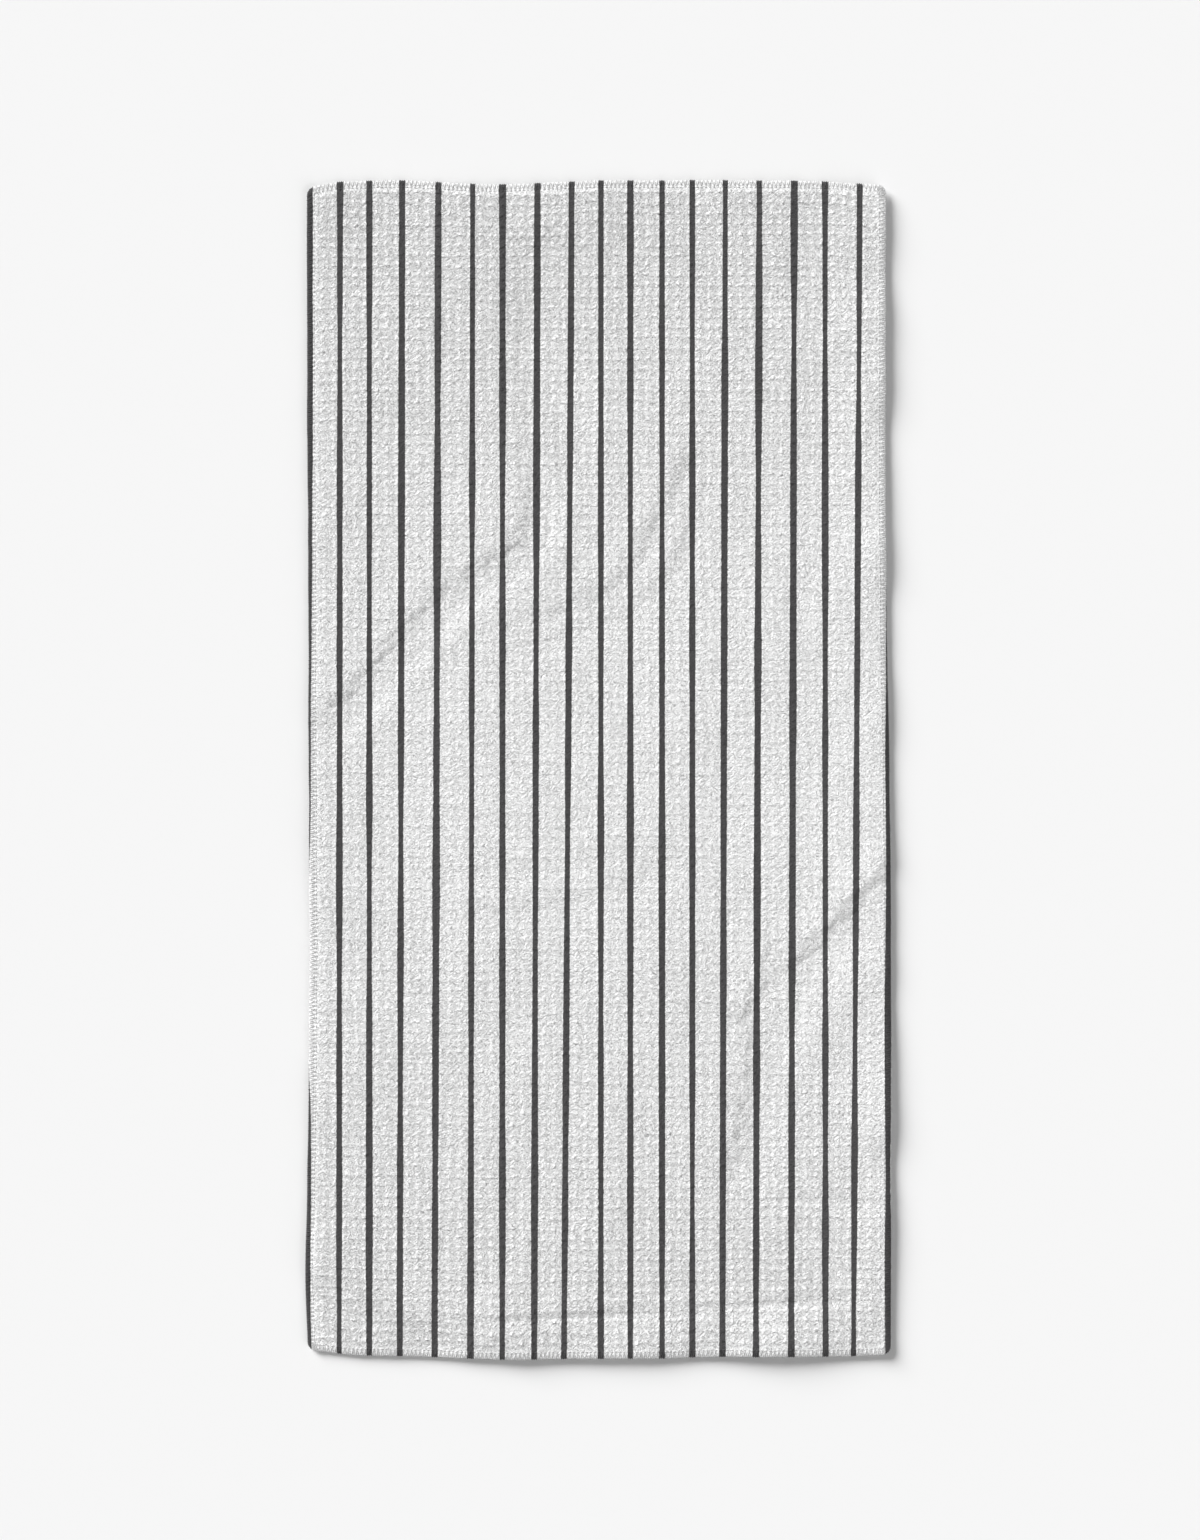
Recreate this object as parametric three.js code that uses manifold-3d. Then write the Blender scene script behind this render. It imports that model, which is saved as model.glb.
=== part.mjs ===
// Golf towel: one waffle-woven microfibre cloth, overlocked round its edge with three threads.
// Millimetres, +Z up, printed face up. The origin is the middle of the underside, X runs across
// the towel and Y along it. The cloth is a plain slab of its full, uncrushed thickness, and each
// thread is a plain closed ring that fills the space its stitches take up in the seam.

import * as THREE from 'three';
import { mergeVertices } from 'three/addons/utils/BufferGeometryUtils.js';
import Module from 'manifold-3d';

// Driving dimensions

const TOWEL_WIDTH = 406;
const TOWEL_LENGTH = 824;
const TOWEL_THICKNESS = 3;
const CORNER_RADIUS = 7;

// From the finished edge to the middle of the needle thread.
const SEAM_WIDTH = 5.3;
const LOOPER_THREAD_THICKNESS = 0.5;
const NEEDLE_THREAD_THICKNESS = 0.5;
const NEEDLE_THREAD_WIDTH = 0.6;

const THREAD_CLEARANCE = 0.3;

// A corner that would shrink away inside the seam keeps at least this radius.
const SMALLEST_CORNER_RADIUS = 0.5;
const ARC_STEPS = 6;

// Derived distances inwards from the finished edge

const NEEDLE_THREAD_OUTSIDE = SEAM_WIDTH - NEEDLE_THREAD_WIDTH / 2;
const NEEDLE_THREAD_INSIDE = SEAM_WIDTH + NEEDLE_THREAD_WIDTH / 2;
const LOOPER_THREAD_INSIDE = NEEDLE_THREAD_OUTSIDE - THREAD_CLEARANCE;
const SEWN_CLOTH_EDGE = LOOPER_THREAD_THICKNESS + THREAD_CLEARANCE;
const FULL_CLOTH_EDGE = NEEDLE_THREAD_INSIDE + THREAD_CLEARANCE;

// Derived heights

const SEWN_CLOTH_BOTTOM = LOOPER_THREAD_THICKNESS + THREAD_CLEARANCE;
const THICKEST_THREAD = Math.max(LOOPER_THREAD_THICKNESS, NEEDLE_THREAD_THICKNESS);
const SEWN_CLOTH_TOP = TOWEL_THICKNESS - THICKEST_THREAD - THREAD_CLEARANCE;
const EDGE_MIDDLE = TOWEL_THICKNESS / 2;
const UPPER_LOOPER_SKIRT_BOTTOM = EDGE_MIDDLE + THREAD_CLEARANCE / 2;
const LOWER_LOOPER_SKIRT_TOP = EDGE_MIDDLE - THREAD_CLEARANCE / 2;

// Materials

const CLOTH_MATERIAL = new THREE.MeshStandardMaterial({
  color: 0xd8d8d9,
  roughness: 0.95,
  metalness: 0,
});

const THREAD_MATERIAL = new THREE.MeshStandardMaterial({
  color: 0xe6e6e6,
  roughness: 0.6,
  metalness: 0,
});

const wasm = await Module();
wasm.setup();

// Draws the towel's rounded outline, moved inwards by inset, into a shape or a path.
function drawOutline(path, inset) {
  const halfWidth = TOWEL_WIDTH / 2 - inset;
  const halfLength = TOWEL_LENGTH / 2 - inset;
  const radius = Math.max(CORNER_RADIUS - inset, SMALLEST_CORNER_RADIUS);
  const centreX = halfWidth - radius;
  const centreY = halfLength - radius;
  const quarter = Math.PI / 2;
  path.moveTo(-centreX, -halfLength);
  path.lineTo(centreX, -halfLength);
  path.absarc(centreX, -centreY, radius, -quarter, 0);
  path.lineTo(halfWidth, centreY);
  path.absarc(centreX, centreY, radius, 0, quarter);
  path.lineTo(-centreX, halfLength);
  path.absarc(-centreX, centreY, radius, quarter, 2 * quarter);
  path.lineTo(-halfWidth, -centreY);
  path.absarc(-centreX, -centreY, radius, 2 * quarter, 3 * quarter);
  return path;
}

// A flat shape raised between two heights, with its heights set exactly so that stacked
// shapes share them.
function raise(shape, bottom, top) {
  const geometry = new THREE.ExtrudeGeometry(shape, {
    depth: 1,
    bevelEnabled: false,
    curveSegments: ARC_STEPS,
  });
  const position = geometry.getAttribute('position');
  for (let i = 0; i < position.count; i += 1) {
    position.setZ(i, position.getZ(i) > 0.5 ? top : bottom);
  }
  return geometry;
}

// The whole area inside the outline at one inset.
function sheet(inset, bottom, top) {
  return raise(drawOutline(new THREE.Shape(), inset), bottom, top);
}

// The band between the outlines at two insets, all the way round the towel.
function ring(outerInset, innerInset, bottom, top) {
  const shape = drawOutline(new THREE.Shape(), outerInset);
  shape.holes.push(drawOutline(new THREE.Path(), innerInset));
  return raise(shape, bottom, top);
}

// Joins overlapping closed geometries into one closed geometry.
function join(geometries) {
  const solids = geometries.map((geometry) => {
    const bare = new THREE.BufferGeometry();
    bare.setAttribute('position', geometry.getAttribute('position'));
    const merged = mergeVertices(bare);
    return new wasm.Manifold(new wasm.Mesh({
      numProp: 3,
      vertProperties: merged.getAttribute('position').array,
      triVerts: new Uint32Array(merged.index.array),
    }));
  });
  const mesh = solids.reduce((all, solid) => all.add(solid)).getMesh();
  const joined = new THREE.BufferGeometry();
  joined.setAttribute('position', new THREE.BufferAttribute(mesh.vertProperties, 3));
  joined.setIndex(new THREE.BufferAttribute(mesh.triVerts, 1));
  joined.computeVertexNormals();
  return joined;
}

// The cloth: full thickness inside the seam, and pressed thinner where the threads wrap it.
function towelCloth() {
  return join([
    sheet(SEWN_CLOTH_EDGE, SEWN_CLOTH_BOTTOM, SEWN_CLOTH_TOP),
    sheet(FULL_CLOTH_EDGE, 0, TOWEL_THICKNESS),
  ]);
}

// The needle thread's row of small stitches on the face, along the seam's inner edge.
function needleThread() {
  const bottom = TOWEL_THICKNESS - NEEDLE_THREAD_THICKNESS;
  return ring(NEEDLE_THREAD_OUTSIDE, NEEDLE_THREAD_INSIDE, bottom, TOWEL_THICKNESS);
}

// The looper thread on the face: a flange over the seam and a skirt down the cut edge.
function upperLooperThread() {
  const flangeBottom = TOWEL_THICKNESS - LOOPER_THREAD_THICKNESS;
  return join([
    ring(0, LOOPER_THREAD_INSIDE, flangeBottom, TOWEL_THICKNESS),
    ring(0, LOOPER_THREAD_THICKNESS, UPPER_LOOPER_SKIRT_BOTTOM, TOWEL_THICKNESS),
  ]);
}

// The looper thread on the back: a flange under the seam and a skirt up the cut edge.
function lowerLooperThread() {
  return join([
    ring(0, LOOPER_THREAD_INSIDE, 0, LOOPER_THREAD_THICKNESS),
    ring(0, LOOPER_THREAD_THICKNESS, 0, LOWER_LOOPER_SKIRT_TOP),
  ]);
}

function namedMesh(name, geometry, material) {
  const mesh = new THREE.Mesh(geometry, material.clone());
  mesh.name = name;
  return mesh;
}

const towel = new THREE.Group();
towel.add(
  namedMesh('towel_cloth', towelCloth(), CLOTH_MATERIAL),
  namedMesh('needle_thread', needleThread(), THREAD_MATERIAL),
  namedMesh('upper_looper_thread', upperLooperThread(), THREAD_MATERIAL),
  namedMesh('lower_looper_thread', lowerLooperThread(), THREAD_MATERIAL),
);

export default towel;
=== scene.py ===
"""Looks of a golf towel laid out flat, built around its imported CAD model.

The towel is one waffle-woven microfibre cloth, overlocked round its edge with a needle thread
and two looper threads, and printed after sewing with narrow dark lines along its length.

The cloth and its threads are first laid out as a flat pattern, where x and y are places on the
cut cloth and z is the height above the middle of its thickness, all in millimetres. The drape
then carries every point of that pattern to its place on the laid towel.
"""

import logging
import math
from dataclasses import dataclass, field
from enum import Enum

import bmesh
import bpy
import numpy as np
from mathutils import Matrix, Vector


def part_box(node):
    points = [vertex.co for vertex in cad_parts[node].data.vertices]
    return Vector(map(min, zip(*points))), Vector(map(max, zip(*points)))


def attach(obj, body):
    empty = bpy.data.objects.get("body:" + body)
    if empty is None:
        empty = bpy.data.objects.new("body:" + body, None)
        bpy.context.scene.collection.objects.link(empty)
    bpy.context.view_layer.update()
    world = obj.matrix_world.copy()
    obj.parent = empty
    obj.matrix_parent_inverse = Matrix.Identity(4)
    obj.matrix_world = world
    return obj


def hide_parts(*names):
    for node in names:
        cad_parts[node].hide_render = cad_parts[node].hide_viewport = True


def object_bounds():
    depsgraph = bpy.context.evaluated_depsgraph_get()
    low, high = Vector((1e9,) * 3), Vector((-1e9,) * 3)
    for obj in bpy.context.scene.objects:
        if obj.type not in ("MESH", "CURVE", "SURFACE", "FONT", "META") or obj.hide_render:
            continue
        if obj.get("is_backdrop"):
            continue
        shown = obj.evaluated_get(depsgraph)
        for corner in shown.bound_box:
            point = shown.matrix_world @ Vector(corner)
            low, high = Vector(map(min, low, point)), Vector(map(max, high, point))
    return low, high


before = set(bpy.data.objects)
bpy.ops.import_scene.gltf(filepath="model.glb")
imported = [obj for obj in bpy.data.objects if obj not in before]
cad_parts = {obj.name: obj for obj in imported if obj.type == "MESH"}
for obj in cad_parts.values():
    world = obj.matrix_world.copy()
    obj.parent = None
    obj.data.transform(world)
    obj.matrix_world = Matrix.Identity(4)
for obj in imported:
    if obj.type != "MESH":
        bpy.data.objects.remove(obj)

MM = 0.001
CLOTH_PLACE = "cloth_place"
WEAVE_PLACE = "weave_place"
BAKE_MAP = "OFBake"

log = logging.getLogger("golf_towel")


class Side(Enum):
    """The two sides of the cloth, as the sign of their height in the flat pattern."""

    FACE = 1
    BACK = -1


# ---------------------------------------------------------------------------------------------
# Shared helpers


def linear(hex_colour: str) -> tuple[float, float, float, float]:
    """Turns an sRGB colour into the linear one that shaders take.

    Args:
        hex_colour: The colour as six hex digits.

    Returns:
        The linear red, green, blue and an alpha of 1.
    """
    channels = [int(hex_colour[i : i + 2], 16) / 255 for i in (0, 2, 4)]
    bright = [c / 12.92 if c <= 0.04045 else ((c + 0.055) / 1.055) ** 2.4 for c in channels]
    return (bright[0], bright[1], bright[2], 1.0)


def add_node(
    tree: bpy.types.NodeTree,
    kind: str,
    settings: dict | None = None,
    values: dict | None = None,
    links: dict | None = None,
) -> bpy.types.Node:
    """Adds one node to a tree.

    Args:
        tree: The node tree that gets the node.
        kind: The node's type name.
        settings: Properties to set on the node.
        values: Input sockets, by name or number, and the values they get.
        links: Input sockets, by name or number, and the output sockets they are joined to.

    Returns:
        The new node.
    """
    node = tree.nodes.new(kind)
    for name, value in (settings or {}).items():
        setattr(node, name, value)
    for socket, value in (values or {}).items():
        node.inputs[socket].default_value = value
    for socket, source in (links or {}).items():
        tree.links.new(source, node.inputs[socket])
    return node


def calculate(
    tree: bpy.types.NodeTree,
    operation: str,
    *inputs: float | bpy.types.NodeSocket,
    clamp: bool = False,
) -> bpy.types.NodeSocket:
    """Adds one maths node to a tree.

    Args:
        tree: The node tree that gets the node.
        operation: What the node works out.
        inputs: Its inputs in order, each a number or another node's output.
        clamp: Whether the result is held between 0 and 1.

    Returns:
        The node's output.
    """
    numbers = {i: value for i, value in enumerate(inputs) if isinstance(value, float)}
    sources = {i: value for i, value in enumerate(inputs) if i not in numbers}
    settings = {"operation": operation, "use_clamp": clamp}
    return add_node(tree, "ShaderNodeMath", settings, numbers, sources).outputs[0]


def noise(
    tree: bpy.types.NodeTree, place: bpy.types.NodeSocket, **values: float
) -> bpy.types.Node:
    """Adds one noise texture to a tree.

    Args:
        tree: The node tree that gets the node.
        place: The output that says where in the noise each point is.
        values: The noise's input sockets and their values.

    Returns:
        The new node.
    """
    return add_node(
        tree, "ShaderNodeTexNoise", {"noise_dimensions": "3D"}, values, {"Vector": place}
    )


def mesh_vector(tree: bpy.types.NodeTree, name: str) -> bpy.types.NodeSocket:
    """Adds a node that reads one of the piece's own attributes, and gives its output."""
    return add_node(tree, "ShaderNodeAttribute", {"attribute_name": name}).outputs["Vector"]


def bump(
    tree: bpy.types.NodeTree,
    height: bpy.types.NodeSocket,
    distance: float,
    strength: float = 1.0,
    **links: bpy.types.NodeSocket,
) -> bpy.types.NodeSocket:
    """Adds a bump node to a tree.

    Args:
        tree: The node tree that gets the node.
        height: The output that gives the bump's height.
        distance: How high a height of 1 is, in millimetres.
        strength: How strongly it shows.
        links: Other input sockets and the outputs they are joined to.

    Returns:
        The normal.
    """
    values = {"Strength": strength, "Distance": distance * MM}
    node = add_node(tree, "ShaderNodeBump", values=values, links={"Height": height, **links})
    return node.outputs["Normal"]


def new_material(name: str, **values: float) -> bpy.types.Material:
    """Makes a material with one shader.

    Args:
        name: The material's name.
        values: The shader's input sockets, with _ for each space, and their values.

    Returns:
        The material.
    """
    material = bpy.data.materials.new(name)
    material.use_nodes = True
    shader = material.node_tree.nodes["Principled BSDF"]
    for socket, value in values.items():
        shader.inputs[socket.replace("_", " ")].default_value = value
    return material


def flat_square(name: str, side: float) -> bpy.types.Mesh:
    """Makes a level square.

    Args:
        name: The mesh's name.
        side: The length of its side, in metres.

    Returns:
        The mesh, facing up at height 0.
    """
    square = bmesh.new()
    bmesh.ops.create_grid(square, x_segments=1, y_segments=1, size=side / 2)
    mesh = bpy.data.meshes.new(name)
    square.to_mesh(mesh)
    square.free()
    return mesh


def unit_grid(
    across: int, along: int
) -> tuple[bmesh.types.BMesh, np.ndarray, np.ndarray, np.ndarray]:
    """Makes a level grid, 1 wide and 1 long around its middle, and numbers its vertices.

    Args:
        across: How many squares it has across.
        along: How many it has along.

    Returns:
        The grid, and its vertices' places, columns and rows.
    """
    grid = bmesh.new()
    bmesh.ops.create_grid(grid, x_segments=across, y_segments=along, size=0.5)
    places = np.array([vertex.co[:2] for vertex in grid.verts])
    column = np.rint((places[:, 0] + 0.5) * across).astype(int)
    row = np.rint((places[:, 1] + 0.5) * along).astype(int)
    return grid, places, column, row


def evened(grid: np.ndarray) -> np.ndarray:
    """Averages each value of a grid with its neighbours, across and then along.

    Args:
        grid: The values, by row and column.

    Returns:
        The averaged grid.
    """
    for axis in (0, 1):
        count = grid.shape[axis]
        padded = np.pad(grid, [(int(i == axis),) * 2 for i in range(grid.ndim)], "edge")
        before = padded.take(range(count), axis)
        after = padded.take(range(2, count + 2), axis)
        grid = 0.5 * grid + 0.25 * (before + after)
    return grid


def store_vectors(mesh: bpy.types.Mesh, name: str, rows: np.ndarray) -> None:
    """Keeps one vector for each vertex of a mesh, as a named attribute."""
    attribute = mesh.attributes.new(name, "FLOAT_VECTOR", "POINT")
    attribute.data.foreach_set("vector", rows.astype(np.float32).ravel())


def vertex_places(mesh: bpy.types.Mesh) -> np.ndarray:
    """Reads a mesh's vertex places as one row each."""
    places = np.empty(len(mesh.vertices) * 3, dtype=np.float32)
    mesh.vertices.foreach_get("co", places)
    return places.reshape(-1, 3).astype(float)


def smooth_step(t: np.ndarray) -> np.ndarray:
    """Rises from 0 to 1 with level ends as t goes from 0 to 1, and stays level outside."""
    t = np.clip(t, 0.0, 1.0)
    return t * t * (3.0 - 2.0 * t)


def spline_weights(share: np.ndarray) -> list[np.ndarray]:
    """Gives the four weights of a smooth curve through evenly spaced values.

    Args:
        share: How far each place is between the second value and the third.

    Returns:
        The weights of the four values around each place.
    """
    return [
        0.5 * (-share + 2 * share**2 - share**3),
        0.5 * (2 - 5 * share**2 + 3 * share**3),
        0.5 * (share + 4 * share**2 - 3 * share**3),
        0.5 * (-(share**2) + share**3),
    ]


@dataclass(frozen=True)
class Ripple:
    """A field of gentle seeded waves, which stands for the unevenness of real cloth.

    The field is a sum of plane waves with random directions, and its usual height is 1.
    """

    shortest: float
    longest: float
    seed: int
    waves: int = 14

    def at(self, x: np.ndarray, y: np.ndarray) -> np.ndarray:
        """Gives the field's height at each place.

        Args:
            x: Places across, in millimetres.
            y: Places along, in millimetres.

        Returns:
            One height for each place, mostly between -1 and 1.
        """
        random = np.random.default_rng(self.seed)
        total = np.zeros(np.shape(x))
        for _ in range(self.waves):
            length = random.uniform(self.shortest, self.longest)
            turn, phase = random.uniform(0.0, 2.0 * math.pi, 2)
            across = x * math.cos(turn) + y * math.sin(turn)
            total = total + np.sin(2.0 * math.pi * across / length + phase)
        return total * math.sqrt(2.0 / self.waves)


# ---------------------------------------------------------------------------------------------
# Sizes


@dataclass(frozen=True)
class TowelSize:
    """The towel's driving sizes in millimetres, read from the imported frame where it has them."""

    width: float
    length: float
    thickness: float
    needle_inset: float
    corner_radius: float = 7.0

    @classmethod
    def from_frame(cls) -> "TowelSize":
        """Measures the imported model.

        Returns:
            The sizes of the finished towel and its seam.
        """
        low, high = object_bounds()
        _, needle_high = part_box("needle_thread")
        stitch_half_width = 0.3
        return cls(
            width=(high[0] - low[0]) / MM,
            length=(high[1] - low[1]) / MM,
            thickness=(high[2] - low[2]) / MM,
            needle_inset=(high[0] - needle_high[0]) / MM + stitch_half_width,
        )

    @property
    def half_width(self) -> float:
        """Half the finished width."""
        return self.width / 2

    @property
    def half_length(self) -> float:
        """Half the finished length."""
        return self.length / 2

    @property
    def corner_centre(self) -> tuple[float, float]:
        """The middle of the top right corner's rounding."""
        return self.half_width - self.corner_radius, self.half_length - self.corner_radius

    def past_centre(
        self, x: np.ndarray, y: np.ndarray
    ) -> tuple[np.ndarray, np.ndarray, np.ndarray]:
        """Measures how far places lie beyond the middle of the nearest corner's rounding.

        Args:
            x: Places across the cloth.
            y: Places along it.

        Returns:
            The distances across and along, 0 where a place isn't beyond it, and both together.
        """
        centre_x, centre_y = self.corner_centre
        out_x = np.maximum(np.abs(x) - centre_x, 0.0)
        out_y = np.maximum(np.abs(y) - centre_y, 0.0)
        return out_x, out_y, np.maximum(np.hypot(out_x, out_y), 1e-9)

    def round_corners(self, x: np.ndarray, y: np.ndarray) -> tuple[np.ndarray, np.ndarray]:
        """Draws places near the towel's square corners in, so that its corners are round.

        Squares around each corner's centre become circles of the same inset.

        Args:
            x: Places across the square-cornered cloth.
            y: Places along it.

        Returns:
            The same places on the round-cornered cloth.
        """
        centre_x, centre_y = self.corner_centre
        out_x, out_y, reach = self.past_centre(x, y)
        share = np.where((out_x > 0) & (out_y > 0), np.maximum(out_x, out_y) / reach, 1.0)
        new_x = np.where(out_x > 0, np.sign(x) * (centre_x + out_x * share), x)
        new_y = np.where(out_y > 0, np.sign(y) * (centre_y + out_y * share), y)
        return new_x, new_y

    def outward(self, x: np.ndarray, y: np.ndarray) -> tuple[np.ndarray, np.ndarray]:
        """Gives the direction straight out of the finished edge for places near it.

        Args:
            x: Places across the round-cornered cloth.
            y: Places along it.

        Returns:
            The direction's two parts, of length 1.
        """
        out_x, out_y, reach = self.past_centre(x, y)
        return np.sign(x) * out_x / reach, np.sign(y) * out_y / reach


@dataclass(frozen=True)
class SeamPath:
    """The way round the towel, measured along its finished edge."""

    size: TowelSize

    @property
    def round_length(self) -> float:
        """The length of the finished edge, all the way round."""
        radius = self.size.corner_radius
        straight = 2.0 * (self.size.width + self.size.length) - 8.0 * radius
        return straight + 2.0 * math.pi * radius

    def at(self, travel: np.ndarray, inset: np.ndarray) -> tuple[np.ndarray, np.ndarray]:
        """Finds places beside the finished edge.

        Args:
            travel: How far round the edge, from the middle of the right side, anticlockwise.
            inset: How far inside the edge.

        Returns:
            The places across and along the cloth.
        """
        radius = self.size.corner_radius
        side_x = self.size.width - 2.0 * radius
        side_y = self.size.length - 2.0 * radius
        arc = math.pi * radius / 2.0
        travel = (np.asarray(travel) + side_y / 2.0) % self.round_length
        x = np.zeros(travel.shape)
        y = np.zeros(travel.shape)
        reach = np.maximum(radius - inset, 0.0)
        square = np.minimum(radius - inset, 0.0)
        start = 0.0
        for quarter, side in enumerate((side_y, side_x, side_y, side_x)):
            turn = quarter * math.pi / 2.0
            along = np.clip(travel - start, 0.0, side) - side / 2.0
            angle = turn + np.clip(travel - start - side, 0.0, arc) / radius
            here = (travel >= start) & (travel < start + side + arc)
            depth = (side_x if quarter % 2 == 0 else side_y) / 2.0
            centre_out = depth + square
            corner_x = centre_out * math.cos(turn) - along * math.sin(turn)
            corner_y = centre_out * math.sin(turn) + along * math.cos(turn)
            x = np.where(here, corner_x + reach * np.cos(angle), x)
            y = np.where(here, corner_y + reach * np.sin(angle), y)
            start += side + arc
        return x, y


# ---------------------------------------------------------------------------------------------
# The drape: how the laid towel departs from its flat pattern


@dataclass(frozen=True)
class Fold:
    """A soft crease left in the cloth, across which it falls a little, with crumpled cloth.

    The points are given places on the cloth in millimetres. Someone who walks from the
    first point to the last has the high ground on the right. The cloth falls by the drop over
    the width, stays low for the reach, and comes back up over the recovery. The lip is a low
    swell before the fall, as a share of the drop. The crumple is the height of the wrinkles
    along the crease. The fold tapers off over a share of its length at each end.
    """

    points: tuple[tuple[float, float], ...]
    drop: float
    width: float
    reach: float
    recovery: float
    lip: float
    crumple: float
    taper: float = 0.16
    wrinkle_sizes: tuple[float, float] = (5.0, 9.0)
    wrinkle_stretch: float = 2.5
    samples_each: int = 10

    def line(self) -> np.ndarray:
        """Draws the fold's line as a smooth curve through its points.

        Returns:
            The places on the line, one row each.
        """
        given = np.array(self.points)
        ends = np.vstack([2 * given[0] - given[1], given, 2 * given[-1] - given[-2]])
        steps = np.linspace(0.0, 1.0, self.samples_each, endpoint=False)[:, None]
        weights = spline_weights(steps)
        stretches = [
            sum(weight * point for weight, point in zip(weights, around))
            for around in zip(ends, ends[1:], ends[2:], ends[3:])
        ]
        return np.vstack(stretches + [given[-1:]])

    def height(self, x: np.ndarray, y: np.ndarray) -> np.ndarray:
        """Gives the fold's height above the undisturbed cloth.

        Args:
            x: Places across the cloth.
            y: Places along the cloth.

        Returns:
            One height for each place, below zero in the dip.
        """
        line = self.line()
        heading = np.gradient(line, axis=0)
        heading /= np.linalg.norm(heading, axis=1)[:, None]
        height = np.zeros(np.shape(x))
        margin = 3.0 * self.width + self.reach + self.recovery
        low, high = line.min(axis=0) - margin, line.max(axis=0) + margin
        near = (x > low[0]) & (x < high[0]) & (y > low[1]) & (y < high[1])
        if not near.any():
            return height
        offset_x = x[near][:, None] - line[:, 0]
        offset_y = y[near][:, None] - line[:, 1]
        closest = np.argmin(offset_x**2 + offset_y**2, axis=1)
        pick = np.arange(closest.size)
        ox, oy = offset_x[pick, closest], offset_y[pick, closest]
        side = heading[closest, 1] * ox - heading[closest, 0] * oy
        past_end = np.abs(heading[closest, 0] * ox + heading[closest, 1] * oy)
        along = closest / (len(line) - 1)
        fade = smooth_step(along / self.taper) * smooth_step((1.0 - along) / self.taper)
        fade = fade * np.exp(-((past_end / (2.0 * self.width)) ** 2))
        fallen = smooth_step(0.5 - side / self.width)
        back = smooth_step((-side - self.width / 2.0 - self.reach) / self.recovery)
        lip = self.lip * np.exp(-((side / self.width - 1.0) ** 2))
        # The cloth crumples into small wrinkles, longer along the crease than across it.
        step = np.linalg.norm(line[-1] - line[0]) / (len(line) - 1)
        seed = len(self.points) + int(abs(line[0, 0]))
        wrinkles = Ripple(*self.wrinkle_sizes, seed).at(step * closest / self.wrinkle_stretch, side)
        crumpled = self.crumple * wrinkles * np.exp(-((side / self.width) ** 2))
        height[near] = fade * (self.drop * (lip - fallen * (1.0 - back)) + crumpled)
        return height


@dataclass(frozen=True)
class EdgeLine:
    """How one edge of the laid towel wanders, as places along the edge and how far out it is.

    Places run from -1 to 1 along the edge, and distances are in millimetres.
    """

    stations: tuple[tuple[float, float], ...]

    def out(self, place: np.ndarray) -> np.ndarray:
        """Gives how far out the edge is.

        Args:
            place: Places along the edge, from -1 to 1.

        Returns:
            A distance for each place, which changes smoothly between the stations.
        """
        places, outs = (np.array(column) for column in zip(*self.stations))
        after = np.clip(np.searchsorted(places, place), 1, len(places) - 1)
        share = (place - places[after - 1]) / (places[after] - places[after - 1])
        return outs[after - 1] + (outs[after] - outs[after - 1]) * smooth_step(share)


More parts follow.
